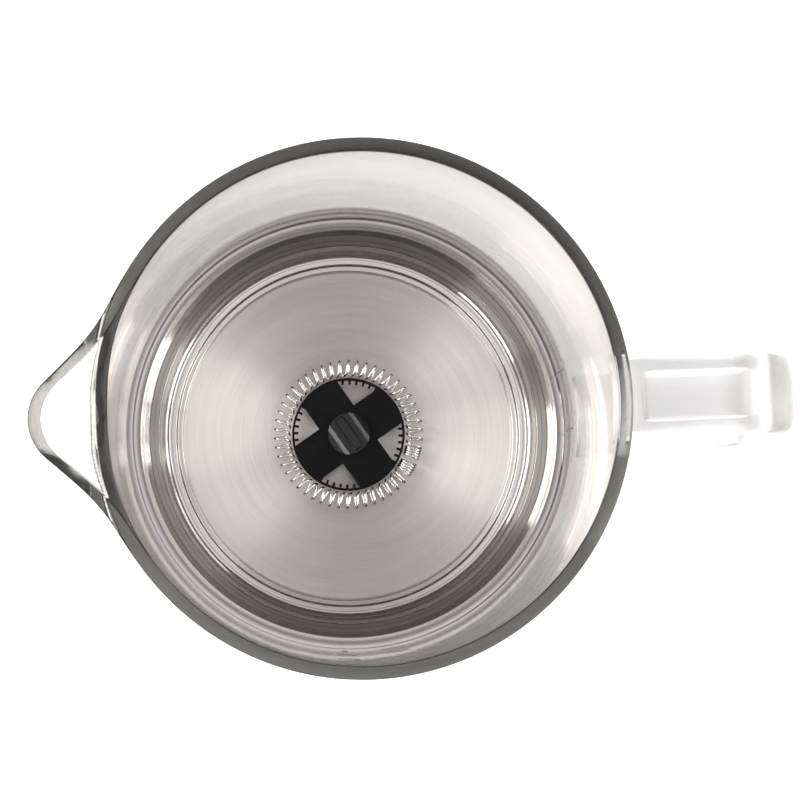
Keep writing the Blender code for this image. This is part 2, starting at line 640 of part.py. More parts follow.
wire("whisk_coil", coil_path(), WIRE_RADIUS, SPRING_STEEL)
carrier = turned(
    "whisk_carrier",
    [
        (RING_INNER, CARRIER_LOW), (RING_LIP, CARRIER_LOW), (RING_OUTER, CARRIER_LOW + 0.6),
        (RING_OUTER, CARRIER_TOP - 0.6), (RING_LIP, CARRIER_TOP), (RING_INNER, CARRIER_TOP),
    ],
    BLACK, 48,
)
for number in range(2):
    corner = Vector((ARM_REACH, ARM_WIDTH / 2, CARRIER_TOP - 0.2))
    arms = block(f"arm_pair_{number + 1}", (-corner.x, -corner.y, CARRIER_LOW), corner, BLACK)
    trim = turned(f"arm_trim_{number + 1}", rod(ARM_REACH + 0.1, CARRIER_LOW - 1, CARRIER_TOP + 1), BLACK, 48)
    arms.rotation_euler.z = math.radians(WHISK_TURN + 90 * number)
    combine(arms, trim, "INTERSECT")
    combine(carrier, arms, "UNION")
hub = turned("hub", rod(HUB_RADIUS, FLOOR_Z + 2.0, CARRIER_TOP - 0.2), BLACK, 32)
combine(carrier, hub, "UNION")
hub_bore = turned("hub_bore", rod(HUB_BORE, FLOOR_Z, CARRIER_TOP + 2), BLACK, 24)
combine(carrier, hub_bore, "DIFFERENCE")
MAGNET_CIRCLE, MAGNET_RADIUS = 9.2, 2.9
for number in range(4):
    spot = (*on_circle(MAGNET_CIRCLE, WHISK_TURN + 90 * number), 0)
    pocket_section = rod(MAGNET_RADIUS + 0.2, FLOOR_Z, CARRIER_LOW + 2.0)
    pocket = turned(f"magnet_pocket_{number + 1}", pocket_section, BLACK, 16, spot)
    combine(carrier, pocket, "DIFFERENCE")
    magnet_section = rod(MAGNET_RADIUS, CARRIER_LOW, CARRIER_LOW + 1.7)
    turned(f"whisk_magnet_{number + 1}", magnet_section, MAGNET, 16, spot)

turned(
    "whisk_bush",
    [
        (SPINDLE_RADIUS + 0.1, FLOOR_Z + 1.4), (2.5, FLOOR_Z + 1.4), (2.5, FLOOR_Z + 7.3), (0, FLOOR_Z + 8.2),
        (0, FLOOR_Z + 7.3), (SPINDLE_RADIUS + 0.1, FLOOR_Z + 7.3),
    ],
    GREY, 24,
)
# Knob: a round cap on the hub with a finger bar across it
knob = turned(
    "whisk_knob",
    [
        (2.9, CARRIER_TOP + 0.1), (KNOB_RADIUS, CARRIER_TOP + 0.1), (KNOB_RADIUS, KNOB_TOP - 1.9),
        (KNOB_RADIUS - 0.4, KNOB_TOP - 1.5), (0, KNOB_TOP - 1.3), (0, KNOB_INSIDE),
        (2.9, KNOB_INSIDE),
    ],
    BLACK, 32,
)
bar = block("finger_bar", (-4.6, -1.3, KNOB_TOP - 2.2), (4.6, 1.3, KNOB_TOP), BLACK)
bar.rotation_euler.z = math.radians(WHISK_TURN + 90)
combine(knob, bar, "UNION")
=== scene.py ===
"""The looks of a milk frother: a clear jug with a brushed steel dish and a coil whisk on a power base.

Lengths are in millimetres and become metres where a mesh is made. Z is up, the jug's handle points
along +X, its spout along -X, and the front of the base with its buttons faces -Y.
"""

import math

import bpy
from mathutils import Matrix, Vector


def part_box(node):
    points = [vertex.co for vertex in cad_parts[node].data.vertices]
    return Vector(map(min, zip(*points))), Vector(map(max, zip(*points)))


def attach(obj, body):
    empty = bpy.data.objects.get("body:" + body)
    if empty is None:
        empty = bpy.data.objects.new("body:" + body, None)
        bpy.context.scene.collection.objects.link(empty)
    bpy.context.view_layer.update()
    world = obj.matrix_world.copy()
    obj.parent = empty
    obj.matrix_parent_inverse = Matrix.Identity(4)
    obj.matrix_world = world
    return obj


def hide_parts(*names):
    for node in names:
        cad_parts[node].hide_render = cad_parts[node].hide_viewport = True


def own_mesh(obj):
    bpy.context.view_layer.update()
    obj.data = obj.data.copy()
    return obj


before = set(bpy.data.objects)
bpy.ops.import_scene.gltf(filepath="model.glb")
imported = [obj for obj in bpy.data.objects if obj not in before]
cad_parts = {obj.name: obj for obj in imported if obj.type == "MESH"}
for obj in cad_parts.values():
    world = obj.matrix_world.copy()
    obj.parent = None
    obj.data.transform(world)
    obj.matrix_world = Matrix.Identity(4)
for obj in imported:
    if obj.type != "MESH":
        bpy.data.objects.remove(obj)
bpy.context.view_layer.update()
bpy.ops.object.select_all(action="DESELECT")
scene = bpy.context.scene
MM = 0.001


# --- Studio ---------------------------------------------------------------------------------------
# A pale table that runs out of sight, two warm softboxes left and right of the jug, two narrow strips, a
# wide weak panel overhead, and a room that is darker to the front and back, which shows in the dish's sides.
TABLE_SIZE = 6.0
bpy.ops.mesh.primitive_plane_add(size=TABLE_SIZE, location=(0, 0, 0))
table = bpy.context.object
table.name = "table"
table_white = bpy.data.materials.new("table_white")
table_white.use_nodes = True
table_shader = table_white.node_tree.nodes["Principled BSDF"]
table_shader.inputs["Base Color"].default_value = (0.60, 0.60, 0.60, 1)
table_shader.inputs["Roughness"].default_value = 0.9
table_shader.inputs["Specular IOR Level"].default_value = 0.1
table_shader.inputs["Emission Color"].default_value = (1, 1, 1, 1)
table_shader.inputs["Emission Strength"].default_value = 1.0
table.data.materials.append(table_white)


def softbox(name, place, aim, width, height, power, colour):
    """A rectangular light at a place, in metres, turned towards another."""
    lamp = bpy.data.lights.new(name, "AREA")
    lamp.shape = "RECTANGLE"
    lamp.size = width
    lamp.size_y = height
    lamp.energy = power
    lamp.color = colour
    holder = bpy.data.objects.new(name, lamp)
    holder.location = place
    holder.rotation_euler = (Vector(aim) - Vector(place)).to_track_quat("-Z", "Y").to_euler()
    scene.collection.objects.link(holder)


JUG_MIDDLE = (0, 0, 0.11)
WARM = (1.0, 0.96, 0.91)
softbox("softbox_left", (-1.05, 0.30, 0.95), JUG_MIDDLE, 0.8, 1.0, 9, WARM)
softbox("softbox_right", (1.05, -0.15, 0.85), JUG_MIDDLE, 0.8, 1.0, 8, WARM)
# Two narrow strips, square to the whisk's finger bar, which draw bright lines along its black knob.
softbox("strip_front", (-0.80, -0.53, 0.90), JUG_MIDDLE, 0.5, 0.25, 2.6, WARM)
softbox("strip_back", (0.80, 0.53, 0.90), JUG_MIDDLE, 0.5, 0.25, 1.2, WARM)
softbox("overhead", (0.0, 0.0, 2.2), JUG_MIDDLE, 1.6, 1.6, 4, (0.97, 0.97, 1.0))

FRONT_GREYS = ((0.0, 1.5), (0.14, 1.4), (0.27, 0.14), (0.62, 0.11), (0.86, 0.36), (1.0, 0.47))
SIDE_GREYS = ((0.0, 1.3), (0.14, 1.15), (0.27, 0.58), (0.62, 0.66), (0.86, 0.62), (1.0, 0.47))
room = bpy.data.worlds.new("room")
room.use_nodes = True
scene.world = room
scene.view_settings.view_transform = "Standard"
room_nodes = room.node_tree.nodes
room_links = room.node_tree.links


def room_maths(operation, first, second):
    """One sum on the direction that the room is seen in. Each term is an output or a number."""
    made = room_nodes.new("ShaderNodeMath")
    made.operation = operation
    for slot, term in enumerate((first, second)):
        if isinstance(term, float):
            made.inputs[slot].default_value = term
        else:
            room_links.new(term, made.inputs[slot])
    return made.outputs[0]


def room_ramp(value, stops, tint):
    """Greys along a value, given as (position, grey), with a tint."""
    made = room_nodes.new("ShaderNodeValToRGB")
    for number, (position, grey) in enumerate(stops):
        stop = made.color_ramp.elements[number] if number < 2 else made.color_ramp.elements.new(position)
        stop.position = position
        stop.color = (*[grey * share for share in tint], 1)
    room_links.new(value, made.inputs[0])
    return made.outputs[0]


direction = room_nodes.new("ShaderNodeTexCoord")
split = room_nodes.new("ShaderNodeSeparateXYZ")
room_links.new(direction.outputs["Generated"], split.inputs[0])
# How far the direction turns to the left or right sides of the jug, from 0 at its front and back to 1.
across = room_maths("POWER", split.outputs["X"], 2.0)
ahead = room_maths("POWER", split.outputs["Y"], 2.0)
sideways = room_maths("DIVIDE", across, room_maths("ADD", room_maths("ADD", across, ahead), 0.0001))
front_room = room_ramp(split.outputs["Z"], FRONT_GREYS, (1.0, 0.94, 0.965))
side_room = room_ramp(split.outputs["Z"], SIDE_GREYS, (1.0, 0.97, 0.91))
turned = room_nodes.new("ShaderNodeMix")
turned.data_type = "RGBA"
room_links.new(room_maths("POWER", sideways, 1.5), turned.inputs[0])
room_links.new(front_room, turned.inputs[6])
room_links.new(side_room, turned.inputs[7])
room_links.new(turned.outputs[2], room_nodes["Background"].inputs["Color"])
room_nodes["Background"].inputs["Strength"].default_value = 1.0

# The camera looks down into the jug from high over its front left side, with a long lens.
CAMERA_PLACE = (-23.0, -40.3, 810.1)
CAMERA_TURN = (3.81, -2.60, -2.60)
CAMERA_LENS = 135.3
camera = bpy.data.objects.new("camera", bpy.data.cameras.new("camera"))
camera.data.lens = CAMERA_LENS
camera.data.clip_start = 0.01
camera.location = Vector(CAMERA_PLACE) * MM
camera.rotation_euler = [math.radians(a) for a in CAMERA_TURN]
scene.collection.objects.link(camera)
scene.camera = camera


# --- Brushed steel, and the heating dish ------------------------------------------------------------
# The dish is spun from stainless sheet: a flat floor brushed in circles, two rolled steps, a bowl side
# and a flange that the jug's wall stands on. Its brushed lines all run round the jug's axis.
class Value:
    """One number, colour or vector in a material, with arithmetic that adds the nodes it needs."""

    def __init__(self, finish, socket):
        self.finish = finish
        self.socket = socket

    def maths(self, operation, *terms):
        return self.finish.node("ShaderNodeMath", {"operation": operation}, dict(enumerate(terms)))

    def __add__(self, other):
        return self.maths("ADD", self, other)

    def __sub__(self, other):
        return self.maths("SUBTRACT", self, other)

    def __rsub__(self, other):
        return self.maths("SUBTRACT", other, self)

    def __mul__(self, other):
        return self.maths("MULTIPLY", self, other)

    def __truediv__(self, other):
        return self.maths("DIVIDE", self, other)

    def __pow__(self, other):
        return self.maths("POWER", self, other)

    __radd__ = __add__
    __rmul__ = __mul__


class Finish:
    """A material with one Principled shader. Its constants are set by name, its patterns through nodes."""

    def __init__(self, name, colour, roughness, metallic=0.0, **constants):
        self.material = bpy.data.materials.new(name)
        self.material.use_nodes = True
        self.tree = self.material.node_tree
        self.shader = self.tree.nodes["Principled BSDF"]
        self.set("Base Color", (*colour, 1.0))
        self.set("Roughness", roughness)
        self.set("Metallic", metallic)
        for key, value in constants.items():
            self.set(key.replace("_", " "), value)

    def feed(self, socket, value):
        if isinstance(value, Value):
            self.tree.links.new(value.socket, socket)
        else:
            socket.default_value = value

    def set(self, name, value):
        self.feed(self.shader.inputs[name], value)

    def node(self, kind, settings, values, output=0):
        """Adds a node, sets it up, feeds its sockets by name or number, and returns one of its outputs."""
        made = self.tree.nodes.new(kind)
        for key, value in settings.items():
            setattr(made, key, value)
        for key, value in values.items():
            self.feed(made.inputs[key], value)
        return Value(self, made.outputs[output])

    def place(self):
        """The point on the piece, in metres, as three numbers."""
        spot = self.node("ShaderNodeTexCoord", {}, {}, "Object")
        return [self.node("ShaderNodeSeparateXYZ", {}, {0: spot}, axis) for axis in "XYZ"]

    def vector(self, x, y, z):
        return self.node("ShaderNodeCombineXYZ", {}, {"X": x, "Y": y, "Z": z})

    def noise(self, vector, scale, detail=2.0, roughness=0.5):
        values = {"Vector": vector, "Scale": scale, "Detail": detail, "Roughness": roughness}
        return self.node("ShaderNodeTexNoise", {}, values, "Fac")

    def spread(self, value, low, high):
        """Stretches the middle of a noise, about 0.3 to 0.7, to run from low to high."""
        values = {"Value": value, "From Min": 0.3, "From Max": 0.7, "To Min": low, "To Max": high}
        return self.node("ShaderNodeMapRange", {}, values)

    def blend(self, share, first, second):
        """A colour between two, by a share from 0 to 1."""
        mixed = self.tree.nodes.new("ShaderNodeMix")
        mixed.data_type = "RGBA"
        self.feed(mixed.inputs[0], share)
        self.feed(mixed.inputs[6], first if isinstance(first, Value) else (*first, 1.0))
        self.feed(mixed.inputs[7], second if isinstance(second, Value) else (*second, 1.0))
        return Value(self, mixed.outputs[2])

    def bump(self, height, strength, distance):
        values = {"Height": height, "Strength": strength, "Distance": distance}
        self.set("Normal", self.node("ShaderNodeBump", {}, values))


def brushed_round(name, dark, light, roughness, lines=2600.0, polished_from=None, **constants):
    """Steel brushed in circles about an upright axis: fine lines in radius and height, long round it.

    Beyond the radius polished_from, in millimetres, it is bright drawn steel with fainter lines.
    """
    made = Finish(name, light, roughness, 1.0, **constants)
    x, y, z = made.place()
    radius = (x * x + y * y) ** 0.5
    side_x = x / (radius + 1e-5)
    side_y = y / (radius + 1e-5)
    across = radius + z
    fine = made.noise(made.vector(across * lines, side_x * 1.4, side_y * 1.4), 1.0, 3.0, 0.6)
    broad = made.noise(made.vector(across * lines * 0.12, side_x, side_y), 1.0, 2.0)
    streaks = made.spread(fine * 0.6 + broad * 0.4, 0.0, 1.0)
    made.set("Base Color", made.blend(streaks, dark, light))
    rough = made.spread(fine, roughness * 0.85, roughness * 1.15)
    if polished_from:
        rough = rough * (1.0 - 0.7 * radius.maths("GREATER_THAN", radius, polished_from * MM))
    made.set("Roughness", rough)
    made.bump(fine, 0.08, 0.00004)
    return made


def rounded(corners, steps=4):
    """An outline through corners (radius, height, rounding), with each corner turned into an arc."""
    outline = []
    for n, (across, up, rounding) in enumerate(corners):
        spot = Vector((across, up))
        if rounding == 0:
            outline.append(spot)
            continue
        back = (Vector(corners[n - 1][:2]) - spot).normalized()
        ahead = (Vector(corners[(n + 1) % len(corners)][:2]) - spot).normalized()
        half = back.angle(ahead) / 2
        centre = spot + (back + ahead).normalized() * (rounding / math.sin(half))
        reach = rounding / math.tan(half)
        start = spot + back * reach - centre
        end = spot + ahead * reach - centre
        first = math.atan2(start.y, start.x)
        sweep = (math.atan2(end.y, end.x) - first + math.pi) % math.tau - math.pi
        for step in range(steps + 1):
            angle = first + sweep * step / steps
            outline.append(centre + rounding * Vector((math.cos(angle), math.sin(angle))))
    return outline


def finished(piece, name, finish, body, *stands_for, slot=None, smooth=35):
    """Names a finished piece, bakes its place into its mesh, and gives it its material and body. Its slot is
    not used.
    """
    bpy.ops.object.transform_apply(location=True, rotation=True, scale=True)
    piece.name = name
    piece.data.name = name
    piece.data.materials.clear()
    piece.data.materials.append(finish.material)
    bpy.ops.object.shade_smooth_by_angle(angle=math.radians(smooth))
    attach(piece, body)
    if stands_for:
        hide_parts(*stands_for)
    bpy.ops.object.select_all(action="DESELECT")
    return piece


def spun(outline, steps=144, centre=(0, 0, 0), axis="Z"):
    """A point at the outline's start, extruded round the half section, then spun about an axis."""
    turn = {"Z": Matrix.Identity(3), "Y": Matrix.Rotation(math.radians(-90), 3, "X")}[axis]
    middle = Vector(centre) * MM
    spots = [turn @ Vector((across * MM, 0, up * MM)) + middle for across, up in outline]
    bpy.ops.mesh.primitive_plane_add(size=MM, location=spots[0])
    piece = bpy.context.object
    bpy.ops.object.mode_set(mode="EDIT")
    bpy.ops.mesh.merge(type="CENTER")
    # An outline that starts and ends on the axis is closed by the spin itself.
    closing = [] if outline[0][0] == 0 and outline[-1][0] == 0 else spots[:1]
    for spot, after in zip(spots, spots[1:] + closing):
        bpy.ops.mesh.extrude_region_move(TRANSFORM_OT_translate={"value": after - spot})
    bpy.ops.mesh.select_all(action="SELECT")
    bpy.ops.mesh.spin(steps=steps, angle=math.tau, center=middle, axis=turn @ Vector((0, 0, 1)))
    bpy.ops.mesh.select_all(action="SELECT")
    bpy.ops.mesh.remove_doubles(threshold=2e-6)
    bpy.ops.mesh.normals_make_consistent(inside=False)
    bpy.ops.object.mode_set(mode="OBJECT")
    return piece


dish_low, dish_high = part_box("heating_dish")
DISH_THICK = 1.0
floor_z = dish_low.z / MM + DISH_THICK
flange_z = dish_high.z / MM
flange_radius = dish_high.x / MM
dish_inside = [
    (0, 0, 0), (40.95, 0, 0.3), (41.4, 0.9, 0.3), (42.6, 1.1, 0.3), (42.95, 1.9, 0.3), (44.7, 2.15, 0.4),
    (45.1, 2.8, 0.25), (45.7, 3.1, 0.3), (46.9, 6.0, 1.0), (47.3, 6.2, 0.2), (49.2, 10.3, 0.8),
    (50.6, 11.25, 0.2), (51.45, 12.0, 0.2), (flange_radius, 12.0, 0.3),
]
dish_outside = [
    (flange_radius, 11.0, 0.3), (51.8, 11.0, 0.3), (50.0, 9.6, 0.8), (47.9, 5.4, 1.0), (46.2, 2.1, 0.4),
    (45.5, 1.7, 0.3), (43.5, 0.9, 0.3), (43.1, 0.1, 0.3), (41.7, -1.0, 0.5), (0, -1.0, 0),
]
POLISHED_FROM = 41.2
steel_of_dish = brushed_round(
    "dish_steel", (0.60, 0.565, 0.55), (0.74, 0.705, 0.685), 0.42, lines=3400.0, polished_from=POLISHED_FROM,
    Anisotropic=0.95, Anisotropic_Rotation=0.25
)
# Painted shade: the drawn sides are painted darker than the floor, standing in for the darker room that they
# reflect, and a narrow line at the wall's foot is a painted shadow in the corner under the wall. Thin dark
# lines of painted shade mark the grooves that the rolling left round them.
x, y, z = steel_of_dish.place()
dish_radius = (x * x + y * y) ** 0.5
# Each painted shade zone is (from, to, share of the steel's brightness beyond it), with radii in millimetres.
PAINTED_SHADE_ZONES = (
    (44.8, 45.3, 0.8), (46.9, 47.3, 0.6), (50.4, 50.6, 2.1), (51.35, 51.6, 0.35), (52.0, 52.8, 2.8),
)
# Each groove is (radius, half width), and is painted as a thin dark line of shade.
SHADED_GROOVES = ((42.8, 0.16), (44.1, 0.14), (45.0, 0.3), (46.1, 0.14), (47.2, 0.2), (48.2, 0.14), (49.3, 0.16))
GROOVE_PAINTED_SHADE = 0.4
# The dark cool grey that the painted shade blends the brushed steel towards.
PAINTED_SHADE_STEEL = (0.03, 0.050, 0.050)
shade = 1.0
for start, end, share in PAINTED_SHADE_ZONES:
    zone = {"Value": dish_radius, "From Min": start * MM, "From Max": end * MM}
    zone.update({"To Min": 1.0, "To Max": share})
    shade = steel_of_dish.node("ShaderNodeMapRange", {}, zone) * shade
for groove_radius, half_width in SHADED_GROOVES:
    away = dish_radius.maths("ABSOLUTE", dish_radius - groove_radius * MM)
    line = {"Value": away, "From Min": 0.0, "From Max": half_width * MM, "To Min": GROOVE_PAINTED_SHADE}
    shade = shade * steel_of_dish.node("ShaderNodeMapRange", {}, line)
brushed = Value(steel_of_dish, steel_of_dish.shader.inputs["Base Color"].links[0].from_socket)
steel_of_dish.set("Base Color", steel_of_dish.blend(shade, PAINTED_SHADE_STEEL, brushed))
dish = spun([(a, floor_z + up) for a, up in rounded(dish_inside + dish_outside)], steps=160)
finished(dish, "dish", steel_of_dish, "jug", "heating_dish", slot="dish_steel")


# --- Collar and seal --------------------------------------------------------------------------------
# The collar is a deep-drawn steel band that clamps the dish's flange up against the jug's foot, with a
# silicone ring between them. The jug stands on its rolled lower edge.
collar_low, collar_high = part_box("dish_collar")
collar_radius = collar_high.x / MM
foot_z = collar_low.z / MM
top_z = collar_high.z / MM
COLLAR_FOOT_RADIUS = 56.0
step_z = floor_z + 2.2
ledge_z = flange_z - 1.3
steel_of_collar = brushed_round(
    "collar_steel", (0.33, 0.32, 0.31), (0.50, 0.49, 0.475), 0.24, Anisotropic=0.6, Anisotropic_Rotation=0.25
)
collar_outline = [
    (53.0, foot_z, 0.3), (COLLAR_FOOT_RADIUS, foot_z, 1.2), (COLLAR_FOOT_RADIUS, step_z, 0.3),
    (collar_radius, step_z, 0.8), (collar_radius, top_z, 0.5), (56.7, top_z, 0.3), (56.7, ledge_z, 0.2),
    (52.4, ledge_z, 0.2), (52.4, ledge_z - 1.6, 0.4), (56.4, ledge_z - 1.6, 0.4), (56.4, step_z + 1.6, 0.4),
    (54.3, step_z + 1.6, 0.6), (54.3, foot_z + 1.6, 0.4), (53.0, foot_z + 1.6, 0.3),
]
collar = spun(rounded(collar_outline), steps=160)
finished(collar, "collar", steel_of_collar, "jug", "dish_collar", slot="base_steel")

silicone = Finish("seal_silicone", (0.17, 0.167, 0.163), 0.55)
x, y, z = silicone.place()
silicone_cloud = silicone.noise(silicone.vector(x, y, z), 900.0)
silicone.set("Base Color", silicone.blend(silicone_cloud, (0.14, 0.137, 0.133), (0.20, 0.197, 0.193)))
seal_low, seal_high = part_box("jug_seal")
seal_z, seal_top = seal_low.z / MM, seal_high.z / MM
seal_outline = [
    (53.5, seal_z, 0.5), (flange_radius, seal_z, 0.5), (flange_radius, seal_top, 0.5), (53.5, seal_top, 0.5),
]
seal = spun(rounded(seal_outline), steps=160)
finished(seal, "seal", silicone, "jug", "jug_seal", slot="seal_silicone")


# --- Jug ---------------------------------------------------------------------------------------------
# The jug is one clear moulding: a wall that widens to its rim, a spout pressed out of its left side at
# the top, and a strap handle. Its rim is flat with rounded edges.
jug_low, jug_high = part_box("jug_body")
wall_low = jug_low.z / MM
rim_z = jug_high.z / MM
FOOT_RADIUS, RIM_RADIUS, WALL = 56.2, 58.2, 2.9
SPOUT_DEPTH, SPOUT_SLOPE, SPOUT_CREASE, SPOUT_BLEND = 12.0, 1.3, 0.12, 2.0
TIP_RADIUS, FLARE = 11.0, math.radians(48)
tip_centre = -jug_low.x / MM - TIP_RADIUS
flank = tip_centre * math.cos(FLARE) + TIP_RADIUS
touch = math.atan2(TIP_RADIUS * math.sin(FLARE), tip_centre + TIP_RADIUS * math.cos(FLARE))


def wall_radius(height):
    """Outside radius of the wall, which widens evenly from its foot to its rim."""
    return FOOT_RADIUS + (RIM_RADIUS - FOOT_RADIUS) * (height - wall_low) / (rim_z - wall_low)


def spout_bulge(angle):
    """How far the rim stands outside its circle, at an angle from the spout's middle."""
    reach = flank / math.cos(max(0.0, FLARE - abs(angle)))
    if abs(angle) < touch:
        lateral = tip_centre * math.sin(angle)
        reach = tip_centre * math.cos(angle) + math.sqrt(TIP_RADIUS**2 - lateral**2)
    return SPOUT_BLEND * math.log1p(math.exp((reach - RIM_RADIUS) / SPOUT_BLEND))


def spout_press(height, bulge):
    """How far the spout presses the wall outwards at a height, where it presses the rim out by bulge."""
    depth = bulge / SPOUT_SLOPE + 1.0
    rise = max(0.0, (height - rim_z + depth) / depth)
    share = (math.hypot(rise, SPOUT_CREASE) - SPOUT_CREASE) / (math.hypot(1, SPOUT_CREASE) - SPOUT_CREASE)
    return bulge * share


RIM_ROUNDING, FOOT_ROUNDING = 0.25, 0.3
WALL_STEP, SPOUT_STEPS = 14, 24
levels = [wall_low + FOOT_ROUNDING, wall_low + 4] + [wall_low + WALL_STEP * n for n in range(1, 6)]
levels += [rim_z - SPOUT_DEPTH * (1 - n / SPOUT_STEPS) for n in range(SPOUT_STEPS)] + [rim_z - RIM_ROUNDING]
quarter = [math.radians(90 * n / 5) for n in range(1, 6)]
outline = [(FOOT_RADIUS - FOOT_ROUNDING, wall_low)]
outline += [(wall_radius(z), z) for z in levels]
outside_lip = [
    (RIM_RADIUS - RIM_ROUNDING * (1 - math.cos(a)), rim_z - RIM_ROUNDING * (1 - math.sin(a))) for a in quarter
]
outline += outside_lip
outline += [(2 * RIM_RADIUS - WALL - across, up) for across, up in outside_lip[::-1]]
outline += [(wall_radius(z) - WALL, z) for z in levels[::-1]]
outline += [(FOOT_RADIUS - WALL + FOOT_ROUNDING, wall_low)]
jug = spun(outline, steps=360)
for point in jug.data.vertices:
    spot = (jug.matrix_world @ point.co) / MM
    radius = math.hypot(spot.x, spot.y)
    press = spout_press(spot.z, spout_bulge(math.atan2(spot.y, -spot.x)))
    spot.xy *= (radius + press) / radius
    point.co = jug.matrix_world.inverted() @ (spot * MM)

# The handle is a strap with rounded edges, wider at its roots than at its grip, with a shallow dished
# panel along the top of its upper arm. It is one moulding with the jug.
STRAP, ROOT_WIDTH, GRIP_WIDTH, BEND = 7.5, 20.4, 17.4, 11.0
EDGE_POWER, ROOT_SUNK, RUN_STEPS = 0.62, 1.4, 6
UPPER_Z, LOWER_Z = rim_z - 9.0, wall_low + 25.0
grip_x = jug_high.x / MM - STRAP / 2
root_x = wall_radius(UPPER_Z) - ROOT_SUNK
turn_x = grip_x - BEND
bpy.ops.mesh.primitive_circle_add(
    vertices=40, radius=MM, fill_type="NGON", location=(root_x * MM, 0, UPPER_Z * MM),
    rotation=(0, math.radians(90), 0),
)
handle = bpy.context.object
for point in handle.data.vertices:
    across, up = (math.copysign(abs(v / MM) ** EDGE_POWER, v) for v in (point.co.y, point.co.x))
    point.co = (up * STRAP / 2 * MM, across * ROOT_WIDTH / 2 * MM, 0)
bpy.ops.object.mode_set(mode="EDIT")
bpy.ops.mesh.select_all(action="SELECT")
# Each run of the strap is (how far it goes, the height of the middle of the bend that follows).
runs = (
    ((turn_x - root_x, 0, 0), UPPER_Z - BEND),
    ((0, 0, LOWER_Z - UPPER_Z + 2 * BEND), LOWER_Z + BEND),
    ((wall_radius(LOWER_Z) - ROOT_SUNK - turn_x, 0, 0), None),
)
for move, bend_z in runs:
    for step in range(RUN_STEPS):
        stride = Vector(move) * MM / RUN_STEPS
        bpy.ops.mesh.extrude_region_move(TRANSFORM_OT_translate={"value": stride})
    if bend_z:
        bpy.ops.mesh.spin(
            steps=12, angle=math.radians(-90), center=Vector((turn_x, 0, bend_z)) * MM, axis=(0, 1, 0)
        )
bpy.ops.mesh.select_all(action="SELECT")
bpy.ops.mesh.normals_make_consistent(inside=False)
bpy.ops.object.mode_set(mode="OBJECT")
bpy.ops.object.transform_apply(location=True, rotation=True)
for point in handle.data.vertices:
    along = min(1.0, max(0.0, (point.co.x / MM - RIM_RADIUS) / (grip_x - RIM_RADIUS)))
    point.co.y *= 1 - (1 - GRIP_WIDTH / ROOT_WIDTH) * along


def bevelled_block(low, high, bevel, segments=4):
    """A block between two corners with all its edges rounded."""
    size = Vector(high) - Vector(low)
    bpy.ops.mesh.primitive_cube_add(size=1, location=(Vector(low) + size / 2) * MM, scale=size * MM)
    bpy.ops.object.transform_apply(location=True, scale=True)
    piece = bpy.context.object
    bpy.ops.object.mode_set(mode="EDIT")
    bpy.ops.mesh.select_all(action="SELECT")
    bpy.ops.mesh.bevel(offset=bevel * MM, segments=segments, affect="EDGES")
    bpy.ops.object.mode_set(mode="OBJECT")
    return piece


def combined(piece, tool, operation):
    """Adds a tool to a piece or cuts it away, and removes the tool."""
    change = piece.modifiers.new(operation.lower(), "BOOLEAN")
    change.operation = operation
    change.solver = "EXACT"
    change.object = tool
    bpy.ops.object.select_all(action="DESELECT")
    bpy.context.view_layer.objects.active = piece
    piece.select_set(True)
    bpy.ops.object.modifier_apply(modifier=change.name)
    bpy.data.objects.remove(tool, do_unlink=True)
    return piece


PANEL_FROM, PANEL_TO, PANEL_HALF, PANEL_DEEP, PANEL_ROUNDING = 60.0, 88.0, 6.6, 0.9, 2.8
top = UPPER_Z + STRAP / 2
panel_low = (PANEL_FROM, -PANEL_HALF, top - PANEL_DEEP)
panel = bevelled_block(panel_low, (PANEL_TO, PANEL_HALF, top + 6), PANEL_ROUNDING)
combined(handle, panel, "DIFFERENCE")
jug.select_set(True)
bpy.context.view_layer.objects.active = jug
bpy.ops.object.transform_apply(location=True, rotation=True, scale=True)
combined(jug, handle, "UNION")
clear = Finish("jug_clear", (0.93, 0.935, 0.925), 0.12, IOR=1.47, Transmission_Weight=1.0)
x, y, z = clear.place()
HAZE_FROM, HAZE_TO = 58.6, 61.0
haze = {"Value": x, "From Min": HAZE_FROM * MM, "From Max": HAZE_TO * MM}
in_handle = clear.node("ShaderNodeMapRange", {}, haze)
# The wall is glossy. The handle is thick, and its cooling left it a little hazy and grey. The flat of the
# rim is matt from its mould's parting line. The wall is tinted greyer towards the rim and the rim's flat is
# tinted grey: painted shade that stands in for the darker view down through the wall's thickness to the seal.
rim_flat = z.maths("GREATER_THAN", z, (rim_z - 0.1) * MM) * (1.0 - in_handle)
WALL_GLOSS, HANDLE_HAZE, RIM_HAZE = 0.045, 0.22, 0.12
clear.set("Roughness", WALL_GLOSS + HANDLE_HAZE * in_handle + RIM_HAZE * rim_flat)
# The grey tint towards the rim and on the rim's flat is painted shade.
FADE_HEIGHT = 18.0
fade = {"Value": z, "From Min": (rim_z - FADE_HEIGHT) * MM, "From Max": rim_z * MM}
near_rim = clear.node("ShaderNodeMapRange", {}, fade)
wall_tint = clear.blend(near_rim, (0.95, 0.955, 0.945), (0.76, 0.76, 0.75))
body_tint = clear.blend(in_handle, wall_tint, (0.71, 0.71, 0.715))
clear.set("Base Color", clear.blend(rim_flat, body_tint, (0.50, 0.50, 0.49)))
# Light passes the clear wall as it passes a thin pane, so that the wall doesn't throw a black shadow.
pane = clear.node("ShaderNodeBsdfTransparent", {}, {"Color": (0.93, 0.93, 0.92, 1)})
shadow = clear.node("ShaderNodeLightPath", {}, {}, "Is Shadow Ray")
mix = clear.node("ShaderNodeMixShader", {}, {0: shadow, 1: Value(clear, clear.shader.outputs[0]), 2: pane})
clear.tree.links.new(mix.socket, clear.tree.nodes["Material Output"].inputs["Surface"])
finished(jug, "clear_jug", clear, "jug", "jug_body", slot="jug_clear", smooth=40)


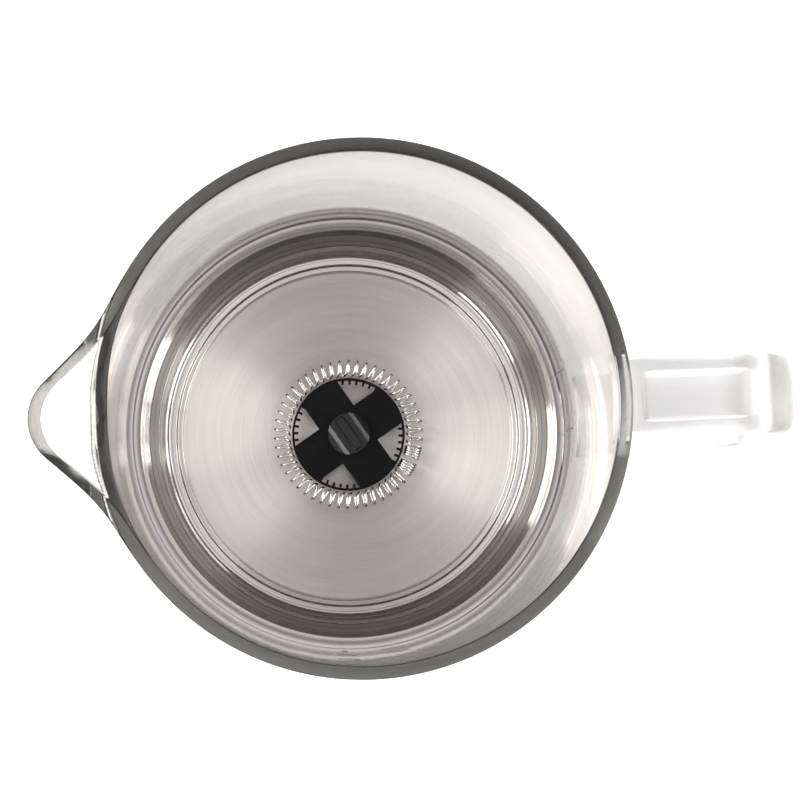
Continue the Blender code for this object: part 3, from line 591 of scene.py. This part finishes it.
# A generic scale is printed in grey inside the front of the wall, a tick and a number for each level, and
# two short upright lines mark where the handle's lower root is. The print is bent round the wall.
print_grey = Finish("print_grey", (0.20, 0.20, 0.195), 0.5)
x, y, z = print_grey.place()
print_cloud = print_grey.noise(print_grey.vector(x, y, z), 1500.0)
print_grey.set("Base Color", print_grey.blend(print_cloud, (0.15, 0.15, 0.145), (0.26, 0.26, 0.25)))
PRINT_THICK, DIGIT_SIZE = 0.10, 15.0
LEVELS = ((86.0, "1"), (110.0, "2"), (134.0, "3"))
FRONT = -90.0
DIGITS_AT, TICKS_AT = -8.0, 5.0
# Each upright line is (its angle round the jug, the height of its lower end).
LINES = ((-2.5, 72.0), (13.0, 72.0))
TICK_LONG, TICK_WIDE, LINE_TALL, LINE_WIDE = 6.0, 2.5, 15.0, 0.6
prints = []
for height, label in LEVELS:
    bpy.ops.object.text_add(rotation=(math.radians(90), 0, 0))
    digits = bpy.context.object
    digits.data.body = label
    digits.data.size = DIGIT_SIZE * MM
    digits.data.extrude = PRINT_THICK * MM / 2
    digits.data.resolution_u = 6
    bpy.ops.object.convert(target="MESH")
    prints.append((bpy.context.object, DIGITS_AT, height - DIGIT_SIZE / 3, FRONT))
    tick = bevelled_block((0, -PRINT_THICK / 2, 0), (TICK_LONG, PRINT_THICK / 2, TICK_WIDE), 0.02, 1)
    prints.append((tick, TICKS_AT, height, FRONT))
for azimuth, height in LINES:
    upright = bevelled_block((0, -PRINT_THICK / 2, 0), (LINE_WIDE, PRINT_THICK / 2, LINE_TALL), 0.02, 1)
    prints.append((upright, 0.0, height, azimuth))
for number, (mark, along, height, azimuth) in enumerate(prints, 1):
    bpy.ops.object.select_all(action="DESELECT")
    bpy.context.view_layer.objects.active = mark
    mark.select_set(True)
    bpy.ops.object.transform_apply(location=True, rotation=True, scale=True)
    bpy.ops.object.mode_set(mode="EDIT")
    bpy.ops.mesh.select_all(action="SELECT")
    bpy.ops.mesh.subdivide(number_cuts=2)
    bpy.ops.mesh.remove_doubles(threshold=1e-6)
    bpy.ops.object.mode_set(mode="OBJECT")
    for point in mark.data.vertices:
        spot = point.co / MM
        up = height + spot.z
        turn = math.radians(azimuth) + (along + spot.x) / wall_radius(up)
        reach = wall_radius(up) - WALL - spot.y
        point.co = Vector((reach * math.cos(turn), reach * math.sin(turn), up)) * MM
    finished(mark, f"print_{number}", print_grey, "jug", slot="black_plastic")


# --- Whisk ---------------------------------------------------------------------------------------------
# The whisk's spring is bright stainless wire wound into a long coil and closed into a ring, which grips
# the groove of a glossy black carrier. Its turns are narrow hairpins seen from above.
carrier_low, carrier_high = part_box("whisk_carrier")
coil_low, coil_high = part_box("whisk_coil")
knob_low, knob_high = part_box("whisk_knob")
WIRE = 0.3
COIL_MIDDLE, COIL_ACROSS, COIL_UP = 16.55, 1.85, 1.3
TURNS, TURN_POINTS, CLOSE_TURNS, CLOSE_PITCH = 55, 28, 4, 2.2
COIL_START, COIL_SWEEP = -22.0, 355.0
COIL_LEAD, COIL_EARLY, COIL_SQUARE = 0.85, 0.5, 0.6
coil_z = (coil_low.z + coil_high.z) / 2 / MM


def turn_angle(turns):
    """The angle round the ring of a point on the spring, whose first and last turns are wound close."""
    close = CLOSE_TURNS * CLOSE_PITCH
    if turns < CLOSE_TURNS:
        return turns * CLOSE_PITCH
    if turns > TURNS - CLOSE_TURNS:
        return COIL_SWEEP - (TURNS - turns) * CLOSE_PITCH
    return close + (COIL_SWEEP - 2 * close) * (turns - CLOSE_TURNS) / (TURNS - 2 * CLOSE_TURNS)


def drawn_wire(name, spots, radius):
    """Round wire along a line of places, in millimetres, with capped ends."""
    path = bpy.data.curves.new(name, "CURVE")
    path.dimensions = "3D"
    path.bevel_depth = radius * MM
    path.bevel_resolution = 2
    path.use_fill_caps = True
    line = path.splines.new("POLY")
    line.points.add(len(spots) - 1)
    for point, spot in zip(line.points, spots):
        point.co = (*(Vector(spot) * MM), 1)
    piece = bpy.data.objects.new(name, path)
    scene.collection.objects.link(piece)
    piece.select_set(True)
    bpy.context.view_layer.objects.active = piece
    bpy.ops.object.convert(target="MESH")
    return bpy.context.object


spots = []
for step in range(TURNS * TURN_POINTS + 1):
    turns = step / TURN_POINTS
    section = math.tau * turns
    swing = math.sin(section + COIL_EARLY) - math.sin(COIL_EARLY)
    lead = min(max(turns - COIL_LEAD * swing / math.tau, 0.0), TURNS)
    angle = math.radians(COIL_START + turn_angle(lead))
    side = math.cos(section)
    reach = COIL_MIDDLE + COIL_ACROSS * math.copysign(abs(side) ** COIL_SQUARE, side)
    spots.append((reach * math.cos(angle), reach * math.sin(angle), coil_z + COIL_UP * math.sin(section)))
spring = drawn_wire("whisk_spring", spots, WIRE)
wire_steel = Finish("spring_wire", (0.90, 0.89, 0.87), 0.10, 1.0)
x, y, z = wire_steel.place()
drawn = wire_steel.noise(wire_steel.vector(x, y, z), 1500.0)
wire_shade = wire_steel.spread(drawn, 0.0, 1.0)
wire_colour = wire_steel.blend(wire_shade, (0.84, 0.83, 0.81), (0.97, 0.96, 0.94))
# The outer tips of the whisk's turns, where the wire is bent over sharply, are painted dark: painted shade at
# the bends.
TIPS_FROM, TIPS_TO = 17.9, 18.4
tips = {"Value": (x * x + y * y) ** 0.5, "From Min": TIPS_FROM * MM, "From Max": TIPS_TO * MM}
painted_tip_shade = wire_steel.node("ShaderNodeMapRange", {}, tips)
wire_steel.set("Base Color", wire_steel.blend(painted_tip_shade, wire_colour, (0.10, 0.09, 0.085)))
wire_steel.set("Roughness", wire_steel.spread(drawn, 0.08, 0.2))
finished(spring, "whisk_spring", wire_steel, "whisk", "whisk_coil", slot="spring_wire", smooth=60)


def moulded(name, colour, roughness, grain=0.08, scale=2600.0, **constants):
    """Moulded plastic: one colour with a faint fine grain, a little unevenly glossy."""
    made = Finish(name, colour, roughness, **constants)
    x, y, z = made.place()
    spot = made.vector(x, y, z)
    fine = made.noise(spot, scale, 3.0)
    cloud = made.noise(spot, 45.0, 2.0)
    darker, lighter = [c * 0.88 for c in colour], [c * 1.12 for c in colour]
    made.set("Base Color", made.blend(made.spread(cloud, 0, 1), darker, lighter))
    made.set("Roughness", made.spread(cloud, roughness * 0.85, roughness * 1.15))
    made.bump(fine, grain, 0.00005)
    return made


# The carrier is one moulding: a hub, four flat arms over the magnets, and a hoop with a groove outside
# for the spring and small teeth inside.
whisk_black = moulded("whisk_black", (0.006, 0.006, 0.007), 0.30, 0.03, Specular_IOR_Level=0.06)
ring_low, ring_top = carrier_high.z / MM - 3.2, carrier_high.z / MM
RING_INNER, RING_OUTER, RING_LIP, TEETH = 13.5, 13.9, 14.1, 48
hoop_outline = [
    (RING_INNER, ring_low, 0.15), (RING_LIP, ring_low, 0.15), (RING_OUTER, ring_low + 0.7, 0.5),
    (RING_OUTER, ring_top - 0.7, 0.5), (RING_LIP, ring_top, 0.15), (RING_INNER, ring_top, 0.15),
]
carrier = spun(rounded(hoop_outline, steps=3), steps=144)
bpy.ops.object.transform_apply(location=True)
ARM_WIDTH, ARM_REACH, HUB_RADIUS, HUB_BORE, WHISK_TURN = 10.4, 13.8, 5.0, 2.7, 32.5
TOOTH_FROM, TOOTH_HALF = 12.5, 0.28
for number in range(2):
    arm_low = (-ARM_REACH, -ARM_WIDTH / 2, ring_low)
    arm = bevelled_block(arm_low, (ARM_REACH, ARM_WIDTH / 2, ring_top - 0.1), 0.2, 2)
    arm.rotation_euler.z = math.radians(WHISK_TURN + 90 * number)
    bpy.ops.object.transform_apply(rotation=True)
    bpy.ops.mesh.primitive_cylinder_add(
        vertices=144, radius=(RING_OUTER - 0.1) * MM, depth=8 * MM, location=(0, 0, ring_top * MM)
    )
    combined(arm, bpy.context.object, "INTERSECT")
    combined(carrier, arm, "UNION")
hub_low = carrier_low.z / MM
hub_outline = [
    (HUB_BORE, hub_low, 0.1), (HUB_RADIUS, hub_low, 0.3), (HUB_RADIUS, ring_top - 0.2, 0),
    (HUB_BORE, ring_top - 0.2, 0),
]
hub = spun(rounded(hub_outline), 48)
bpy.ops.object.transform_apply(location=True)
combined(carrier, hub, "UNION")
for number in range(TEETH):
    angle = math.tau * (number + 0.5) / TEETH
    tooth_low = (TOOTH_FROM, -TOOTH_HALF, ring_low + 0.6)
    tooth = bevelled_block(tooth_low, (RING_INNER, TOOTH_HALF, ring_top - 0.25), 0.08, 1)
    tooth.rotation_euler.z = angle
    bpy.ops.object.transform_apply(rotation=True)
    tooth.select_set(True)
    carrier.select_set(True)
    bpy.context.view_layer.objects.active = carrier
    bpy.ops.object.join()
finished(carrier, "carrier", whisk_black, "whisk", "whisk_carrier", slot="black_plastic")

# The knob caps the hub: a flat disc with a finger bar across it, in line with two of the arms.
polished_black = moulded("knob_black", (0.005, 0.005, 0.006), 0.08, 0.01, Specular_IOR_Level=0.4)
knob_radius = knob_high.x / MM
knob_base, knob_top = knob_low.z / MM, knob_high.z / MM
disc = [
    (0, knob_base, 0), (knob_radius - 0.2, knob_base, 0.1), (knob_radius, knob_top - 1.3, 0.2),
    (0, knob_top - 1.2, 0),
]
knob = spun(rounded(disc), steps=72)
bpy.ops.object.transform_apply(location=True)
BAR_HALF, BAR_DEEP = 1.3, 2.6
bar_reach = knob_radius - 0.6
bar = bevelled_block((-bar_reach, -BAR_HALF, knob_top - BAR_DEEP), (bar_reach, BAR_HALF, knob_top), 0.6)
bar.rotation_euler.z = math.radians(WHISK_TURN + 90)
bpy.ops.object.transform_apply(rotation=True)
combined(knob, bar, "UNION")
# Slopes on either side of the bar, along the knob's edge, for the fingertips. Each is (how far from the
# bar's middle it starts, its tilt), and is cut by a block that is wider than the knob.
SLOPES = ((2.7, 24.5), (3.7, 42.0))
for side in (-1, 1):
    for slope_from, tilt in SLOPES:
        slope = bevelled_block((-8, -12, 0), (8, 0, 8), 0.05, 1)
        slope.rotation_euler.x = math.radians(tilt)
        bpy.ops.object.transform_apply(rotation=True)
        drop = (slope_from - SLOPES[0][0]) * math.tan(math.radians(SLOPES[0][1]))
        slope.location = Vector((0, -slope_from, knob_top - 1.4 - drop)) * MM
        bpy.ops.object.transform_apply(location=True)
        slope.rotation_euler.z = math.radians(WHISK_TURN + 90 * side)
        bpy.ops.object.transform_apply(rotation=True)
        combined(knob, slope, "DIFFERENCE")
finished(knob, "knob", polished_black, "whisk", "whisk_knob", slot="black_plastic", smooth=18)


# --- Power base ------------------------------------------------------------------------------------------
# A rolled steel sleeve, brushed round, between a moulded seat with a raised rim and a black bottom cover.
sleeve_low, sleeve_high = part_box("base_sleeve")
base_radius = sleeve_high.x / MM
sleeve_z, sleeve_top = sleeve_low.z / MM, sleeve_high.z / MM
SLEEVE_WALL = 1.2
steel_of_base = brushed_round(
    "base_steel", (0.27, 0.262, 0.255), (0.42, 0.41, 0.40), 0.26, Anisotropic=0.6, Anisotropic_Rotation=0.25
)
inside = base_radius - SLEEVE_WALL
sleeve_outline = [
    (inside, sleeve_z, 0.2), (base_radius, sleeve_z, 0.5), (base_radius, sleeve_top, 0.4),
    (inside, sleeve_top, 0.2),
]
sleeve = spun(rounded(sleeve_outline), steps=192)
bpy.ops.object.transform_apply(location=True)
button_z = 28.0
BUTTON_RADIUS, BUTTON_SPACING, HOLE_GAP = 5.0, 17.0, 0.3
HOLE_MIDDLE, HOLE_DEEP = 55, 24
gland_low, gland_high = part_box("cord_gland")
gland_z = (gland_low.z + gland_high.z) / 2 / MM
GLAND_RADIUS = 4.6
holes = [(across, -1, button_z, BUTTON_RADIUS) for across in (-BUTTON_SPACING, 0, BUTTON_SPACING)]
holes.append((0, 1, gland_z, GLAND_RADIUS))
for across, side, up, radius in holes:
    bpy.ops.mesh.primitive_cylinder_add(
        vertices=64, radius=(radius + HOLE_GAP) * MM, depth=HOLE_DEEP * MM,
        location=Vector((across, side * HOLE_MIDDLE, up)) * MM, rotation=(math.radians(90), 0, 0),
    )
    combined(sleeve, bpy.context.object, "DIFFERENCE")
finished(sleeve, "sleeve", steel_of_base, "base", "base_sleeve", slot="base_steel")

seat_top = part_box("base_top")[1].z / MM
SEAT_Z = 53.2
RIM_INSIDE = 56.6
seat_grey = moulded("seat_grey", (0.42, 0.415, 0.405), 0.42)
skirt = inside - 0.4
seat_outline = [
    (0, SEAT_Z - 2.2, 0), (skirt - 1.7, SEAT_Z - 2.2, 0.4), (skirt - 1.7, SEAT_Z - 6.7, 0.3),
    (skirt, SEAT_Z - 6.7, 0.3), (skirt, sleeve_top + 0.3, 0), (base_radius, sleeve_top + 0.3, 0.3),
    (base_radius, seat_top, 0.7), (RIM_INSIDE, seat_top, 0.5), (RIM_INSIDE, SEAT_Z, 0.8), (0, SEAT_Z, 0),
]
seat = spun(rounded(seat_outline), steps=192)
bpy.ops.object.transform_apply(location=True)
sensor_low, sensor_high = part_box("sensor_button")
sensor_x = (sensor_low.x + sensor_high.x) / 2 / MM
SENSOR_WAY = 2.9
bpy.ops.mesh.primitive_cylinder_add(
    vertices=48, radius=SENSOR_WAY * MM, depth=12 * MM, location=(sensor_x * MM, 0, SEAT_Z * MM)
)
combined(seat, bpy.context.object, "DIFFERENCE")
finished(seat, "seat", seat_grey, "base", "base_top", slot="grey_plastic")

cap_black = moulded("cover_black", (0.018, 0.018, 0.019), 0.45)
cover_low, cover_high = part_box("bottom_cover")
cover_radius = cover_high.x / MM
cover_outline = [
    (0, cover_low.z / MM, 0), (cover_radius, cover_low.z / MM, 0.8), (cover_radius, cover_high.z / MM, 0.3),
    (0, cover_high.z / MM, 0),
]
cover = spun(rounded(cover_outline), steps=144)
bpy.ops.object.transform_apply(location=True)
FOOT_CIRCLE, SCREW_CIRCLE = 46.0, 49.0
# Recesses for the feet and screw heads, and ways through for the screws: (circle, turn, radius, depth).
COVER_HOLES = ((FOOT_CIRCLE, 0, 6.3, 2.9), (SCREW_CIRCLE, 45, 3.2, 2.6), (SCREW_CIRCLE, 45, 1.7, 9))
for number in range(4):
    for circle, turn, radius, depth in COVER_HOLES:
        angle = math.radians(turn + 90 * number)
        bpy.ops.mesh.primitive_cylinder_add(
            vertices=40, radius=radius * MM, depth=2 * depth * MM,
            location=(circle * math.cos(angle) * MM, circle * math.sin(angle) * MM, 0),
        )
        combined(cover, bpy.context.object, "DIFFERENCE")
VENT_FIRST, VENT_SPACING, VENT_HALF, VENT_REACH = 18, 5, 1.2, 11
for side in (-1, 1):
    for row in range(3):
        middle = side * (VENT_FIRST + VENT_SPACING * row)
        vent_high = (middle + VENT_HALF, VENT_REACH, 8)
        vent = bevelled_block((middle - VENT_HALF, -VENT_REACH, -2), vent_high, 1.15)
        combined(cover, vent, "DIFFERENCE")
finished(cover, "cover", cap_black, "base", "bottom_cover", slot="black_plastic")

# Four soft feet, pressed into recesses of the cover.
foot_rubber = moulded("foot_rubber", (0.10, 0.10, 0.10), 0.75, 0.3, 1800.0)
for number in range(1, 5):
    low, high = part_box(f"foot_{number}")
    middle = (low + high) / 2 / MM
    radius = (high.x - low.x) / 2 / MM
    outline = [(0, 0, 0), (radius, 0, 1.0), (radius, high.z / MM, 0.3), (0, high.z / MM, 0)]
    foot = spun(rounded(outline), steps=48, centre=(middle.x, middle.y, 0))
    finished(foot, f"soft_foot_{number}", foot_rubber, "base", f"foot_{number}", slot="foot_rubber")

# The gland is a flanged plastic bush in the back of the sleeve, with an oblong way for a flat cord.
gland_outline = [
    (0, 53, 0), (GLAND_RADIUS, 53, 0.3), (GLAND_RADIUS, 58.9, 0), (6.4, 58.9, 0.3), (6.4, 61.2, 1.2),
    (0, 61.2, 0),
]
gland = spun(rounded(gland_outline), steps=64, centre=(0, 0, gland_z), axis="Y")
bpy.ops.object.transform_apply(location=True)
way = bevelled_block((-2.9, 48, gland_z - 1.8), (2.9, 66, gland_z + 1.8), 1.7)
combined(gland, way, "DIFFERENCE")
finished(gland, "gland", cap_black, "base", "cord_gland", slot="black_plastic")

# Three push buttons with lightly dished faces. One, two or three raised dots tell them apart.
button_grey = moulded("button_grey", (0.55, 0.545, 0.535), 0.35)
for number in range(1, 4):
    low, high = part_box(f"mode_button_{number}")
    across = (low.x + high.x) / 2 / MM
    face = low.y / MM
    outline = [
        (0, face + 0.5, 0), (2.6, face + 0.35, 1.5), (BUTTON_RADIUS - 0.7, face, 0.4),
        (BUTTON_RADIUS, face + 0.6, 0.4), (BUTTON_RADIUS, -51.8, 0.1), (6.2, -51.8, 0.2), (6.2, -50.8, 0.2),
        (1.6, -50.8, 0.1), (1.6, high.y / MM, 0.2), (0, high.y / MM, 0),
    ]
    button = spun(rounded(outline), steps=64, centre=(across, 0, button_z), axis="Y")
    bpy.ops.object.transform_apply(location=True)
    for dot in range(number):
        spot = Vector((across + 1.5 * (dot - (number - 1) / 2), face + 0.62, button_z)) * MM
        bpy.ops.mesh.primitive_uv_sphere_add(segments=20, ring_count=12, radius=0.5 * MM, location=spot)
        ball = bpy.context.object
        bpy.ops.object.transform_apply(location=True)
        combined(button, ball, "UNION")
    node = f"mode_button_{number}"
    finished(button, f"push_button_{number}", button_grey, node, node, slot="grey_plastic")


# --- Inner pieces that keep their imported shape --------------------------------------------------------
# Everything inside the base, the whisk's magnets and bush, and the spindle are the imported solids, given
# the finish of what they are made of.
def keep(finish, *names):
    for name in names:
        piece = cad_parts[name]
        piece.data.materials.clear()
        piece.data.materials.append(finish.material)


def mottled(name, dark, light, roughness, metallic, scale, strength=0.1):
    """A cast, sintered, plated or wound surface: two shades mixed by a fine noise, with a slight bump."""
    made = Finish(name, light, roughness, metallic)
    x, y, z = made.place()
    grain = made.noise(made.vector(x, y, z), scale, 3.0)
    made.set("Base Color", made.blend(made.spread(grain, 0, 1), dark, light))
    made.set("Roughness", made.spread(grain, roughness * 0.8, roughness * 1.2))
    made.bump(grain, strength, 0.00005)
    return made


hardware_steel = brushed_round("hardware_steel", (0.55, 0.54, 0.52), (0.74, 0.73, 0.71), 0.22)
keep(hardware_steel, "motor_bracket", "motor_shaft", "whisk_spindle")
keep(hardware_steel, *[f"cover_screw_{n}" for n in range(1, 5)])
keep(moulded("inner_grey", (0.55, 0.54, 0.53), 0.5), "coil_bobbin", "magnet_carrier", "whisk_bush")
keep(cap_black, "motor_end_cap", "filter_capacitor", "tact_switch_1", "tact_switch_2", "tact_switch_3")
ferrite = mottled("ferrite", (0.035, 0.035, 0.04), (0.07, 0.07, 0.075), 0.6, 0.0, 2500)
keep(ferrite, "stator_magnet_left", "stator_magnet_right", *[f"ferrite_bar_{n}" for n in range(1, 5)])
magnet_plate = mottled("magnet_plate", (0.62, 0.62, 0.60), (0.76, 0.76, 0.74), 0.18, 1.0, 1200, 0.02)
keep(magnet_plate, *[f"{kind}_magnet_{n}" for kind in ("drive", "whisk") for n in range(1, 5)])
bronze = mottled("bronze", (0.42, 0.30, 0.14), (0.60, 0.45, 0.24), 0.5, 1.0, 4000)
keep(bronze, "motor_bush_lower", "motor_bush_upper")
board_green = mottled("board_green", (0.02, 0.15, 0.06), (0.035, 0.22, 0.09), 0.4, 0.0, 700, 0.03)
keep(board_green, "control_board", "button_board")
aluminium = brushed_round("aluminium", (0.66, 0.66, 0.67), (0.80, 0.80, 0.81), 0.33)
keep(aluminium, "motor_can", "heat_sink", "sensor_button")

# The sensor's spring is a short coil of fine wire.
SENSOR_WIRE, SENSOR_COIL, SENSOR_TURNS, SENSOR_POINTS, SQUASHED = 0.25, 2.2, 3, 24, 0.44
spring_low, spring_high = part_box("sensor_spring")
start_z = spring_low.z / MM + SENSOR_WIRE
rise = (spring_high.z - spring_low.z) / MM - 2 * SENSOR_WIRE
spots = []
for step in range(SENSOR_TURNS * SENSOR_POINTS + 1):
    angle = math.tau * step / SENSOR_POINTS
    up = start_z + rise * step / (SENSOR_TURNS * SENSOR_POINTS)
    spots.append((sensor_x + SENSOR_COIL * math.cos(angle), SENSOR_COIL * math.sin(angle), up))
sensor_coil = drawn_wire("sensor_coil", spots, SENSOR_WIRE)
finished(sensor_coil, "sensor_coil", hardware_steel, "base", "sensor_spring", slot="spring_wire", smooth=60)
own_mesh(sensor_coil)

# The windings are enamelled copper, whose turns show as fine grooves round their own axis. The grooves are
# bumped and also painted darker, painted shade between the turns.
copper = Finish("copper_winding", (0.60, 0.26, 0.12), 0.32, 1.0)
x, y, z = copper.place()
radius = (x * x + y * y) ** 0.5
turns = radius.maths("SINE", radius * 3900.0)
groove = copper.spread(turns * 0.2 + 0.5, 0, 1)
# Painted shade: the colour darkens in the grooves between the turns.
copper.set("Base Color", copper.blend(groove, (0.36, 0.14, 0.06), (0.72, 0.33, 0.16)))
copper.bump(turns, 0.4, 0.0002)
keep(copper, "induction_coil", "filter_choke", "motor_armature")
